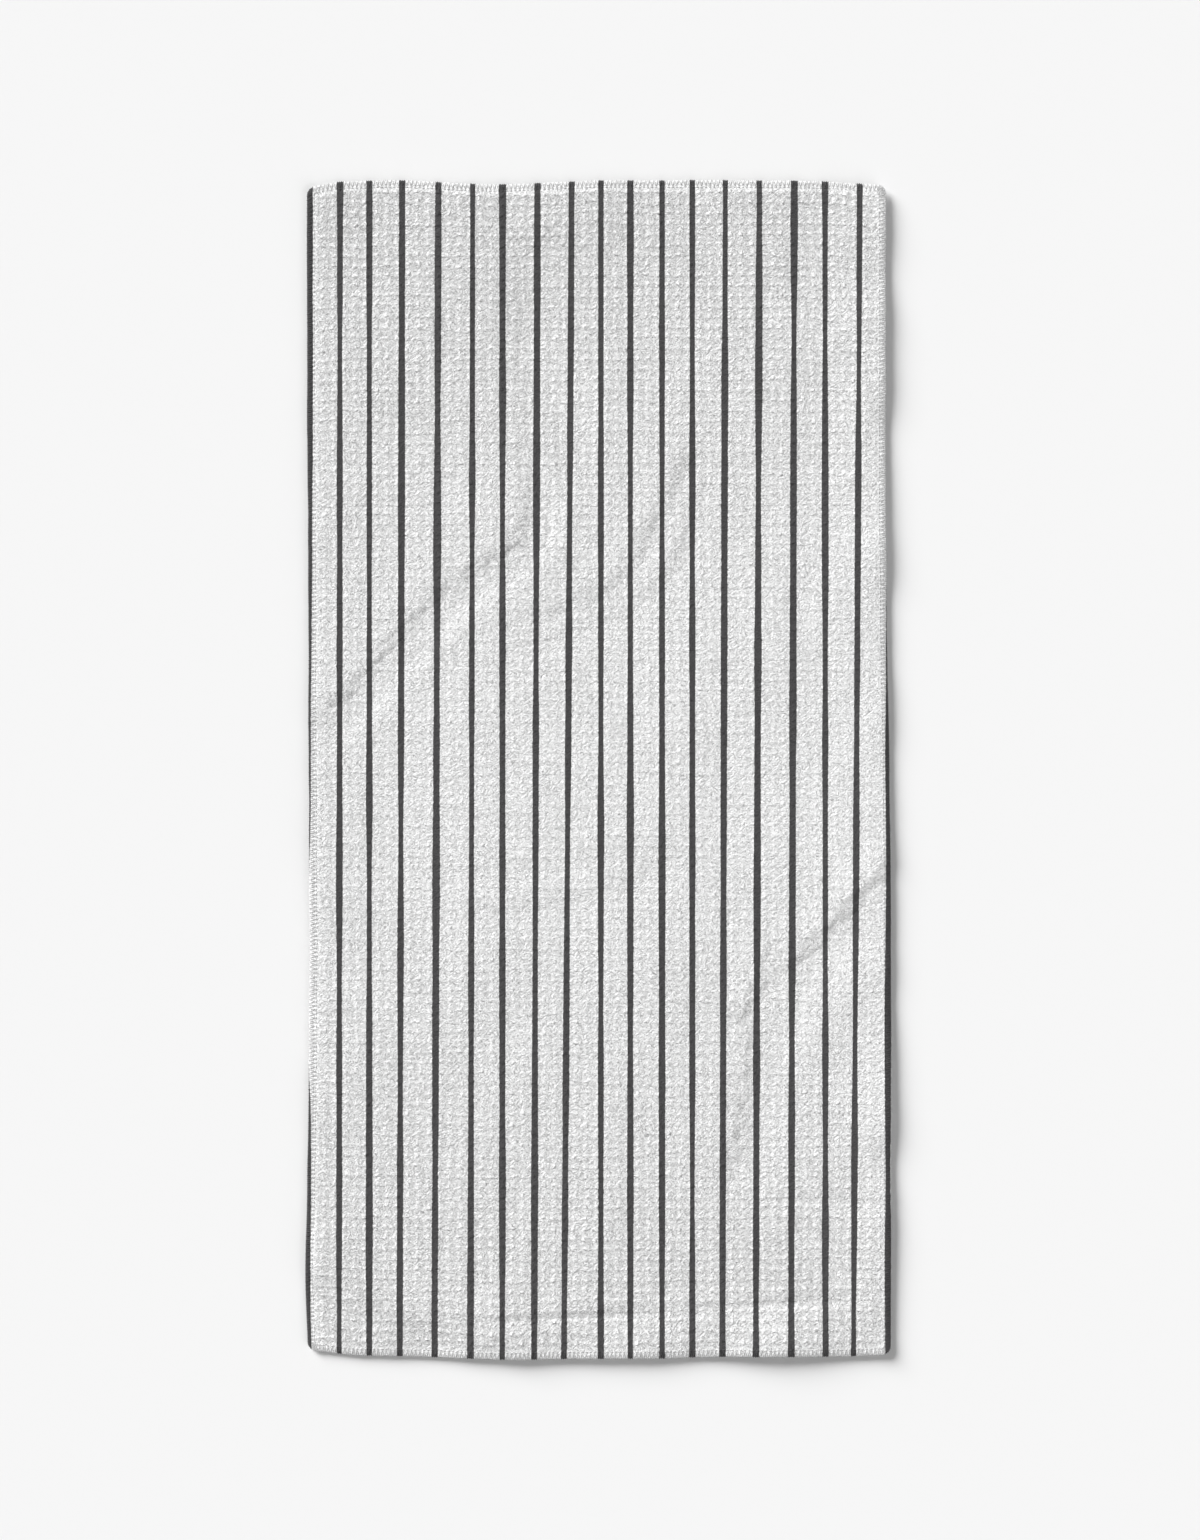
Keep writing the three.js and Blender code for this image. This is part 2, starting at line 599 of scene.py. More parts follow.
@dataclass
class Drape:
    """The shape that the laid towel takes.

    Its edges wander a little, its surface holds soft folds and low waves, and its rim stands a
    few millimetres off the table. A short cloth simulation then loosens that shape a little,
    and the towel is set down on the table.
    """

    size: TowelSize
    left: EdgeLine = EdgeLine(
        ((-1, 1.2), (-0.87, 2.8), (-0.7, 1.6), (-0.55, 0.5), (-0.3, -0.3))
        + ((0.1, 0.6), (0.35, 0.8), (0.6, 1.7), (1, 1.7))
    )
    right: EdgeLine = EdgeLine(
        ((-1, 2.0), (-0.5, 2.4), (-0.2, 2.2), (0.0, 1.2), (0.25, -0.6), (0.5, -1.5), (1, -1.5))
    )
    top: EdgeLine = EdgeLine(
        ((-1, -3.3), (-0.86, 0.5), (-0.7, 1.3), (-0.36, -1.5))
        + ((0.02, 1.3), (0.34, 1.6), (0.72, 0.9), (1, -1.8))
    )
    bottom: EdgeLine = EdgeLine(
        ((-1, -5.0), (-0.8, -1.6), (-0.3, 1.0), (0.15, 0.3), (0.5, -0.9), (0.85, -1.2), (1, -2.2))
    )
    folds: tuple[Fold, ...] = (
        Fold(
            ((-50, 204), (-56, 163), (-104, 130), (-154, 78), (-214, 14)),
            drop=1.4, width=12.0, reach=10.0, recovery=14.0, lip=0.15, crumple=0.32,
        ),
        Fold(
            ((-57, 385), (-55, 300), (-50, 160)),
            drop=1.4, width=18.0, reach=0.0, recovery=60.0, lip=0.0, crumple=0.12,
        ),
        Fold(
            ((-37, 310), (-30, 235), (-15, 140)),
            drop=0.8, width=10.0, reach=0.0, recovery=40.0, lip=0.1, crumple=0.1,
        ),
        Fold(
            ((68, 232), (57, 208), (32, 159), (15, 134), (-20, 116), (-86, 98)),
            drop=0.85, width=9.5, reach=0.0, recovery=16.0, lip=0.6, crumple=0.16,
        ),
        Fold(
            ((74, 216), (67, 187), (53, 145), (29, 120), (-20, 99), (-86, 80)),
            drop=0.65, width=9.0, reach=0.0, recovery=16.0, lip=0.3, crumple=0.14,
        ),
        Fold(
            ((66, -50), (14, -80), (-48, -95), (-114, -98)),
            drop=0.6, width=10.0, reach=0.0, recovery=20.0, lip=0.3, crumple=0.1,
        ),
        Fold(
            ((60, -44), (14, -56), (-90, -70), (-130, -72)),
            drop=0.4, width=10.0, reach=0.0, recovery=20.0, lip=0.3, crumple=0.08,
        ),
        Fold(
            ((226, -40), (197, -72), (155, -116), (113, -160), (92, -180)),
            drop=1.7, width=10.0, reach=2.0, recovery=45.0, lip=0.25, crumple=0.3,
        ),
        Fold(
            ((122, -104), (110, -160), (104, -213), (94, -262), (84, -300)),
            drop=1.5, width=14.0, reach=0.0, recovery=35.0, lip=0.2, crumple=0.26,
        ),
        Fold(
            ((214, -365), (60, -376), (-20, -380), (-110, -385)),
            drop=1.4, width=4.2, reach=0.0, recovery=9.0, lip=0.2, crumple=0.14,
        ),
        Fold(
            ((-50, -408), (-110, -394), (-165, -380), (-222, -352)),
            drop=2.4, width=26.0, reach=0.0, recovery=60.0, lip=0.5, crumple=0.12,
        ),
        Fold(
            ((218, -303), (165, -300), (116, -297)),
            drop=0.5, width=5.0, reach=0.0, recovery=9.0, lip=0.2, crumple=0.08,
        ),
        Fold(
            ((190, 220), (110, 218), (44, 214)),
            drop=0.3, width=6.0, reach=0.0, recovery=12.0, lip=0.2, crumple=0.05,
        ),
    )
    low_waves: Ripple = Ripple(70.0, 190.0, 5)
    low_wave_height: float = 0.35
    rest_height: float = 1.4
    left_lift: float = 0.4
    top_lift: float = 0.2
    right_lift: float = 3.2
    bottom_lift: float = 3.4
    # The bottom left corner isn't lifted as much as the rest of the bottom edge.
    corner_share: float = 0.3
    corner_width: float = 130.0
    rim_width: float = 60.0
    rim_waves: Ripple = Ripple(50.0, 140.0, 9)
    rim_unevenness: float = 0.15
    curl_drop: float = 0.6
    curl_width: float = 8.0
    settle_step: float = 7.0
    settle_frames: int = 14
    settle_cap: float = 0.8
    settle_creep: float = 0.2
    # In kilograms per square metre.
    cloth_weight: float = 0.35
    settled: np.ndarray | None = field(default=None, repr=False)

    def settle(self) -> None:
        """Simulates a coarse copy of the towel on the table, and keeps a little of its movement.

        The copy starts from the given shape. In so short a time it mostly springs unevenly
        off the table and creeps a little sideways, so no point keeps more of that than the cap.
        It loosens the given shape, and the creases stay where they were left. The towel is
        then set down until its lowest place rests on the table.
        """
        across = round(self.size.width / self.settle_step)
        along = round(self.size.length / self.settle_step)
        grid, unit, column, row = unit_grid(across, along)
        start = self.middle(unit[:, 0] * self.size.width, unit[:, 1] * self.size.length)
        for vertex, place in zip(grid.verts, start * MM):
            vertex.co = place
        mesh = bpy.data.meshes.new("settling_towel")
        grid.to_mesh(mesh)
        grid.free()
        towel = bpy.data.objects.new("settling_towel", mesh)
        table = bpy.data.objects.new("settling_table", flat_square("settling_table", 2.0))
        for item in (towel, table):
            bpy.context.scene.collection.objects.link(item)
        table.modifiers.new("collision", "COLLISION")
        table.collision.thickness_outer = 0.5 * MM
        table.collision.cloth_friction = 20.0
        cloth = towel.modifiers.new("cloth", "CLOTH")
        cloth.settings.quality = 8
        cloth.settings.mass = self.cloth_weight * (self.settle_step * MM) ** 2
        cloth.settings.bending_stiffness = 0.05
        cloth.settings.air_damping = 3.0
        cloth.collision_settings.distance_min = self.size.thickness / 2.0 * MM
        scene = bpy.context.scene
        for frame_number in range(1, self.settle_frames + 1):
            scene.frame_set(frame_number)
        settled = towel.evaluated_get(bpy.context.evaluated_depsgraph_get()).to_mesh()
        moved = vertex_places(settled) / MM - start
        moved[:, :2] *= self.settle_creep
        distance = np.linalg.norm(moved, axis=1)
        log.info("simulated cloth moves up to %.2f mm, before the cap", distance.max())
        moved *= np.minimum(1.0, self.settle_cap / np.maximum(distance, 1e-9))[:, None]
        moves = np.zeros((along + 1, across + 1, 3))
        moves[row, column] = moved
        # Averaging with the neighbours keeps the coarse grid from showing.
        self.settled = evened(evened(moves))
        # The lowest places of the towel rest on the table.
        heights = start[:, 2] + self.settled[row, column, 2]
        self.settled[..., 2] -= heights.min() - self.size.thickness / 2.0
        scene.frame_set(1)
        for item in (towel, table):
            spare = item.data
            bpy.data.objects.remove(item)
            bpy.data.meshes.remove(spare)

    def outline_shift(self, x: np.ndarray, y: np.ndarray) -> tuple[np.ndarray, np.ndarray]:
        """Moves places sideways so that the edges wander as given, and less further in.

        Args:
            x: Places across the flat pattern.
            y: Places along it.

        Returns:
            The shifts across and along.
        """
        across = x / self.size.half_width
        along = y / self.size.half_length
        to_right = 0.5 + 0.5 * across
        to_top = 0.5 + 0.5 * along
        shift_x = self.right.out(along) * to_right**3 - self.left.out(along) * (1 - to_right) ** 3
        shift_y = self.top.out(across) * to_top**6 - self.bottom.out(across) * (1 - to_top) ** 6
        return shift_x, shift_y

    def height(self, x: np.ndarray, y: np.ndarray) -> np.ndarray:
        """Gives the height of the middle of the cloth above where it lies flat.

        Args:
            x: Places across the flat pattern.
            y: Places along it.

        Returns:
            One height for each place.
        """
        height = self.rest_height + self.low_wave_height * self.low_waves.at(x, y)
        for fold in self.folds:
            height = height + fold.height(x, y)
        half_width, half_length = self.size.half_width, self.size.half_length
        past_corner = smooth_step((half_width + x) / self.corner_width)
        bottom_share = self.corner_share + (1.0 - self.corner_share) * past_corner
        rim = np.zeros(np.shape(x))
        for inset, lift in (
            (half_width + x, self.left_lift),
            (half_width - x, self.right_lift),
            (half_length + y, self.bottom_lift * bottom_share),
            (half_length - y, self.top_lift),
        ):
            rim = np.maximum(rim, lift * (1.0 - smooth_step(inset / self.rim_width)))
        uneven = np.clip(1.0 + self.rim_unevenness * self.rim_waves.at(x, y), 0.4, 1.6)
        # The stitched edge itself curls down towards the table.
        inside = np.clip(np.minimum(half_width - np.abs(x), half_length - np.abs(y)), 0.0, None)
        curl = self.curl_drop * np.clip(1.0 - inside / self.curl_width, 0.0, 1.0) ** 2
        return np.maximum(height, 0.0) + uneven * rim - curl

    def middle(self, x: np.ndarray, y: np.ndarray) -> np.ndarray:
        """Carries places on the flat pattern's middle to the laid towel.

        Args:
            x: Places across the flat pattern.
            y: Places along it.

        Returns:
            One row of x, y and z for each place.
        """
        shift_x, shift_y = self.outline_shift(x, y)
        height = self.height(x, y) + self.size.thickness / 2.0
        laid = np.stack([x + shift_x, y + shift_y, height], axis=-1)
        if self.settled is not None:
            laid = laid + self.settled_at(x, y)
        return laid

    def middle_under(self, x: np.ndarray, y: np.ndarray) -> np.ndarray:
        """Gives the height of the middle of the cloth at places on the laid towel.

        Args:
            x: Places across the laid towel.
            y: Places along it.

        Returns:
            One height for each place.
        """
        flat_x, flat_y = x, y
        for _ in range(2):
            laid = self.middle(flat_x, flat_y)
            flat_x, flat_y = flat_x + x - laid[..., 0], flat_y + y - laid[..., 1]
        return self.middle(flat_x, flat_y)[..., 2]

    def place(self, x: np.ndarray, y: np.ndarray, lift: np.ndarray) -> np.ndarray:
        """Carries points of the flat pattern to the laid towel.

        Args:
            x: Places across the flat pattern.
            y: Places along it.
            lift: Heights above the middle of the cloth's thickness.

        Returns:
            One row of x, y and z for each point, in millimetres.
        """
        step = 1.0
        here = self.middle(x, y)
        across = self.middle(x + step, y) - here
        along = self.middle(x, y + step) - here
        up = np.cross(across, along)
        up /= np.linalg.norm(up, axis=-1)[..., None]
        return here + up * np.asarray(lift)[..., None]

    def settled_at(self, x: np.ndarray, y: np.ndarray) -> np.ndarray:
        """Reads how far the simulation moved each place, smoothly between its grid's corners.

        Args:
            x: Places across the flat pattern.
            y: Places along it.

        Returns:
            One row of x, y and z for each place.
        """
        rows, columns = self.settled.shape[:2]
        column = (x / self.size.width + 0.5) * (columns - 1)
        row = (y / self.size.length + 0.5) * (rows - 1)
        column_start = np.clip(np.floor(column), 0, columns - 2).astype(int)
        row_start = np.clip(np.floor(row), 0, rows - 2).astype(int)
        column_weights = spline_weights(np.clip(column - column_start, 0.0, 1.0))
        row_weights = spline_weights(np.clip(row - row_start, 0.0, 1.0))
        total = np.zeros(np.shape(x) + (3,))
        for i, row_weight in enumerate(row_weights):
            r = np.clip(row_start + i - 1, 0, rows - 1)
            for j, column_weight in enumerate(column_weights):
                c = np.clip(column_start + j - 1, 0, columns - 1)
                total += self.settled[r, c] * (row_weight * column_weight)[..., None]
        return total


# ---------------------------------------------------------------------------------------------
# The print


@dataclass(frozen=True)
class PrintedLines:
    """Narrow dark lines printed along the towel, after it was sewn.

    The lines are a printer's even repeat from one long edge to the other. The cloth crept a
    little under the press, so each line strays from even spacing and leans, and the two
    outermost lines slip on and off the edges.
    """

    size: TowelSize
    count: int = 19
    line_width: float = 4.3
    edge_margin: float = 0.5
    # From the left edge to the right: each line's stray at half length, and how much further
    # it strays at the top end.
    strays: tuple[float, ...] = (
        *(0.0, -1.1, -3.0, -3.2, -0.7, 1.4, 0.2, 1.1, 1.1, 1.8),
        *(-0.4, -0.6, -2.1, -2.5, -1.3, 0.8, 1.0, 0.3, 0.0),
    )
    leans: tuple[float, ...] = (
        *(0.0, 0.4, 0.0, 1.0, 1.2, 0.8, 0.0, 1.0, 3.0, 0.0),
        *(0.0, 0.0, 0.0, 1.2, 1.2, 1.2, -0.4, 2.5, 0.0),
    )
    # How much of the ink shows through on the back.
    ghost: float = 0.1
    soft_edge: float = 0.22
    fray: float = 1.1
    swelling: float = 2.2
    swelling_length: float = 160.0
    left_slip: EdgeLine = EdgeLine(
        ((-1, 0.4), (-0.9, -0.9), (-0.6, -0.7), (-0.45, -2.2), (-0.2, -2.2))
        + ((-0.05, -0.4), (0.3, -0.2), (0.6, 0.5), (1, 0.6))
    )
    right_slip: EdgeLine = EdgeLine(
        ((-1, -0.2), (-0.5, -0.4), (-0.2, 0.2), (0.0, -0.1), (0.2, 0.9), (0.5, 2.0), (1, 2.4))
    )

    @property
    def pitch(self) -> float:
        """The even spacing of the lines."""
        return (self.size.width - 2.0 * self.edge_margin) / (self.count - 1)

    def place(self, x: np.ndarray, y: np.ndarray) -> np.ndarray:
        """Finds where on the even repeat each place of the towel was printed.

        Args:
            x: Places across the laid towel.
            y: Places along it.

        Returns:
            The place across the even repeat, in millimetres from its middle.
        """
        number = x / self.pitch + (self.count - 1) / 2.0
        lines = np.arange(self.count)
        along = y / self.size.half_length
        shift = np.interp(number, lines, self.strays) + np.interp(number, lines, self.leans) * along
        from_left = smooth_step(1.0 - np.abs(number))
        from_right = smooth_step(1.0 - np.abs(number - (self.count - 1)))
        shift = shift * (1.0 - from_left) * (1.0 - from_right)
        shift = shift + self.left_slip.out(along) * from_left + self.right_slip.out(along) * from_right
        return x - shift

    def printed(self, laid: np.ndarray, height: np.ndarray) -> np.ndarray:
        """Works out the cloth_place attribute of points on the laid towel.

        Ink takes fully on the face and over its edge, and only shows through faintly on the
        back.

        Args:
            laid: One row of x, y and z for each point.
            height: Each point's height above the middle of the cloth's thickness.

        Returns:
            One row of place across, place along and share of ink for each point.
        """
        taken = self.ghost + (1.0 - self.ghost) * smooth_step((height + 0.85) / 0.5)
        x, y = laid[:, 0], laid[:, 1]
        return np.stack([self.place(x, y), y, taken], axis=1)

    def share(self, tree: bpy.types.NodeTree) -> bpy.types.NodeSocket:
        """Adds the nodes that say how much ink lies at each point.

        The nodes read the piece's own cloth_place attribute: the place across the even repeat,
        the place along the towel, and how well ink took there.

        Args:
            tree: The material's node tree.

        Returns:
            An output that is 1 on a line and 0 between the lines.
        """
        place = mesh_vector(tree, CLOTH_PLACE)
        across, along, taken = add_node(tree, "ShaderNodeSeparateXYZ", links={0: place}).outputs
        number = calculate(tree, "ROUND", calculate(tree, "DIVIDE", across, self.pitch))
        centre = calculate(tree, "MULTIPLY", number, self.pitch)
        distance = calculate(tree, "ABSOLUTE", calculate(tree, "SUBTRACT", across, centre))
        # Each line is a little wider or narrower than the next, and swells slowly along.
        slow = calculate(tree, "DIVIDE", along, self.swelling_length)
        pair = add_node(tree, "ShaderNodeCombineXYZ", links={0: number, 1: slow})
        swell = noise(tree, pair.outputs[0], Scale=1.37, Detail=1.0).outputs["Fac"]
        swelling = calculate(tree, "MULTIPLY_ADD", swell, -self.swelling, self.swelling / 2.0)
        # The ink's edge follows the fibres, which fray it by a few tenths of a millimetre.
        fibres = noise(tree, place, Scale=0.55, Detail=3.0, Roughness=0.6).outputs["Fac"]
        wander = calculate(tree, "MULTIPLY_ADD", fibres, self.fray, -self.fray / 2.0)
        total = calculate(tree, "ADD", distance, calculate(tree, "ADD", wander, swelling))
        half = self.line_width / 2.0
        ink = add_node(
            tree,
            "ShaderNodeMapRange",
            {"interpolation_type": "SMOOTHSTEP"},
            {"From Min": half + self.soft_edge, "From Max": half - self.soft_edge},
            {"Value": total},
        )
        return calculate(tree, "MULTIPLY", ink.outputs[0], taken, clamp=True)


# ---------------------------------------------------------------------------------------------
# Finishes


@dataclass(frozen=True)
class WaffleMicrofibre:
    """Brushed polyester microfibre in a waffle weave, printed by heat transfer.

    The split fibres scatter light, so the cloth is matt with a faint bloom at its edges. The
    weave's ridges and its nap are bumps, and the colour mixes a lit and a shaded copy of the
    cloth: painted highlight where the ridges cross, painted shade in the pits and among the nap.
    """

    lines: PrintedLines
    # The lit copy of the cloth's colour and its shaded copy, between which painted light and shade are
    # mixed.
    cloth: str = "F4F4F4"
    shaded_cloth: str = "BABABA"
    ink: str = "474647"
    ridge_height: float = 0.6
    tuft_size: float = 4.2
    ridge_sharpness: float = 2.6
    row_share: float = 0.2
    slant: float = math.radians(40.0)
    nap_width: float = 1.2
    nap_length: float = 2.5
    nap_height: float = 2.0
    # How much painted shade the nap and the pits put into the colour, and the range that this painted
    # light share is mapped from.
    nap_shade_contrast: float = 4.8
    pit_shade: float = 0.8
    painted_light_range: tuple[float, float] = (0.79, 2.29)

    def weave(
        self, tree: bpy.types.NodeTree
    ) -> tuple[bpy.types.NodeSocket, bpy.types.NodeSocket, bpy.types.NodeSocket]:
        """Adds the nodes that draw the waffle weave, finer than the mesh can hold it.

        Args:
            tree: The material's node tree.

        Returns:
            The ridges' height, from 0 in a pit to well over 1 on a plump knot, the angle that
            the threads slant at, and how plump the weave is.
        """
        weave = mesh_vector(tree, WEAVE_PLACE)
        cells = add_node(tree, "ShaderNodeSeparateXYZ", links={0: weave})
        plumpness = cells.outputs["Z"]
        # Loose tufts push each ridge a little to one side, so no two cells look the same.
        place = mesh_vector(tree, CLOTH_PLACE)
        tufts = noise(tree, place, Scale=1.0 / self.tuft_size, Detail=1.0)
        push = add_node(tree, "ShaderNodeSeparateXYZ", links={0: tufts.outputs["Color"]})
        waves, ridges = [], []
        for axis in ("X", "Y"):
            pushed = calculate(
                tree, "MULTIPLY_ADD", push.outputs[axis], 0.5, cells.outputs[axis]
            )
            wave = calculate(tree, "COSINE", calculate(tree, "MULTIPLY", pushed, 2.0 * math.pi))
            raised = calculate(tree, "MULTIPLY_ADD", wave, 0.5, 0.5, clamp=True)
            waves.append(wave)
            ridges.append(calculate(tree, "POWER", raised, self.ridge_sharpness))
        crossing = calculate(tree, "MULTIPLY", *ridges)
        rows = calculate(tree, "MULTIPLY_ADD", ridges[1], self.row_share, crossing)
        height = calculate(tree, "MULTIPLY", rows, plumpness)
        # Round each pit the threads run in a diamond, so they slant one way, then the other.
        way = calculate(tree, "SIGN", calculate(tree, "MULTIPLY", *waves))
        return height, calculate(tree, "MULTIPLY", way, self.slant), plumpness

    def make(self) -> bpy.types.Material:
        """Builds the material.

        Returns:
            The cloth's material.
        """
        material = new_material(
            "waffle_microfibre_printed",
            Roughness=0.92,
            Specular_IOR_Level=0.25,
            Sheen_Weight=0.12,
            Sheen_Roughness=0.5,
        )
        tree = material.node_tree
        shader = tree.nodes["Principled BSDF"]
        ridges, slant, plumpness = self.weave(tree)
        # The nap's slanting fibre bundles. The real fibres are a few hundredths of a
        # millimetre, so they are drawn far coarser.
        slanted = add_node(
            tree,
            "ShaderNodeVectorRotate",
            {"rotation_type": "Z_AXIS"},
            links={"Vector": mesh_vector(tree, CLOTH_PLACE), "Angle": slant},
        )
        bundles = add_node(
            tree,
            "ShaderNodeVectorMath",
            {"operation": "MULTIPLY"},
            {1: (1.0 / self.nap_length, 1.0 / self.nap_width, 1.0)},
            {0: slanted.outputs["Vector"]},
        )
        nap = noise(
            tree, bundles.outputs["Vector"], Scale=1.0, Detail=2.0, Roughness=0.65, Distortion=0.6
        ).outputs["Fac"]
        # The colour is painted light and shade, mixed between a lit and a shaded copy of the cloth.
        # Where the ridges cross it gets a painted highlight. The pits get a painted shade, deeper
        # where the weave is plump, and the nap gets a fine painted fibre shade.
        knot_light_less_pit_shade = calculate(tree, "MULTIPLY_ADD", plumpness, -self.pit_shade, ridges)
        painted_light_share = add_node(
            tree,
            "ShaderNodeMapRange",
            values={"From Min": self.painted_light_range[0], "From Max": self.painted_light_range[1]},
            links={"Value": calculate(tree, "MULTIPLY_ADD", nap, self.nap_shade_contrast, knot_light_less_pit_shade)},
        )
        cloth = add_node(
            tree,
            "ShaderNodeMix",
            {"data_type": "RGBA"},
            {6: linear(self.shaded_cloth), 7: linear(self.cloth)},
            {0: painted_light_share.outputs[0]},
        )
        colour = add_node(
            tree,
            "ShaderNodeMix",
            {"data_type": "RGBA"},
            {7: linear(self.ink)},
            {0: self.lines.share(tree), 6: cloth.outputs[2]},
        )
        tree.links.new(colour.outputs[2], shader.inputs["Base Color"])
        ridged = bump(tree, ridges, self.ridge_height)
        rough = bump(tree, nap, self.nap_height, Normal=ridged)
        tree.links.new(rough, shader.inputs["Normal"])
        return material


@dataclass(frozen=True)
class SpunPolyester:
    """Textured white polyester sewing thread, printed over with the cloth.

    The twisted filaments give it a soft gloss and a fine slanting rib.
    """

    lines: PrintedLines
    thread: str = "CACACA"
    ink: str = "474647"
    rib_height: float = 0.1

    def make(self) -> bpy.types.Material:
        """Builds the material.

        Returns:
            The thread's material.
        """
        material = new_material(
            "spun_polyester_thread", Roughness=0.6, Specular_IOR_Level=0.3, Sheen_Weight=0.1
        )
        tree = material.node_tree
        shader = tree.nodes["Principled BSDF"]
        colour = add_node(
            tree,
            "ShaderNodeMix",
            {"data_type": "RGBA"},
            {6: linear(self.thread), 7: linear(self.ink)},
            {0: self.lines.share(tree)},
        )
        tree.links.new(colour.outputs[2], shader.inputs["Base Color"])
        # The twist has about two turns a millimetre, drawn coarser so that it shows.
        twist = noise(tree, mesh_vector(tree, CLOTH_PLACE), Scale=2.4, Detail=1.0)
        ribbed = bump(tree, twist.outputs["Fac"], self.rib_height, strength=0.6)
        tree.links.new(ribbed, shader.inputs["Normal"])
        return material


@dataclass(frozen=True)
class MattPaper:
    """Matt white background paper, which gives the stage an even pale ground."""

    colour: str = "E9E9E9"

    def make(self) -> bpy.types.Material:
        """Builds the material.

        Returns:
            The floor's material.
        """
        material = new_material("matt_background_paper", Roughness=1.0, Specular_IOR_Level=0.0)
        shader = material.node_tree.nodes["Principled BSDF"]
        shader.inputs["Base Color"].default_value = linear(self.colour)
        return material


# ---------------------------------------------------------------------------------------------
# The pieces


def finish_piece(
    mesh: bpy.types.Mesh,
    name: str,
    material: bpy.types.Material,
    places: np.ndarray,
) -> bpy.types.Object:
    """Turns a finished mesh into a smooth-shaded piece with its material.

    Args:
        mesh: The mesh, with its vertices in metres at their final place.
        name: The piece's name.
        material: Its material.
        places: For each vertex, its place on the print and how well ink took there.

    Returns:
        The new object, linked to the scene.
    """
    store_vectors(mesh, CLOTH_PLACE, places)
    mesh.polygons.foreach_set("use_smooth", np.ones(len(mesh.polygons), dtype=bool))
    mesh.materials.append(material)
    mesh.update()
    piece = bpy.data.objects.new(name, mesh)
    bpy.context.scene.collection.objects.link(piece)
    log.info("%s: %d vertices, %d faces", name, len(mesh.vertices), len(mesh.polygons))
    return piece


def repeated(
    shape: bmesh.types.BMesh, name: str, places: np.ndarray, turns: np.ndarray
) -> bpy.types.Mesh:
    """Puts a copy of one small closed shape at each of many places.

    Args:
        shape: The shape, around its own middle, in millimetres.
        name: The new mesh's name.
        places: One row of x, y and z for each copy, in millimetres.
        turns: For each copy, the directions that the shape's x, y and z take.

    Returns:
        One mesh that holds every copy, in metres.
    """
    corners = np.array([vertex.co[:] for vertex in shape.verts])
    copies = np.einsum("vk,nkc->nvc", corners, turns) + places[:, None, :]
    faces = [[vertex.index for vertex in face.verts] for face in shape.faces]
    starts = range(0, len(places) * len(corners), len(corners))
    mesh = bpy.data.meshes.new(name)
    mesh.from_pydata(
        (copies.reshape(-1, 3) * MM).tolist(),
        [],
        [[start + index for index in face] for start in starts for face in faces],
    )
    return mesh


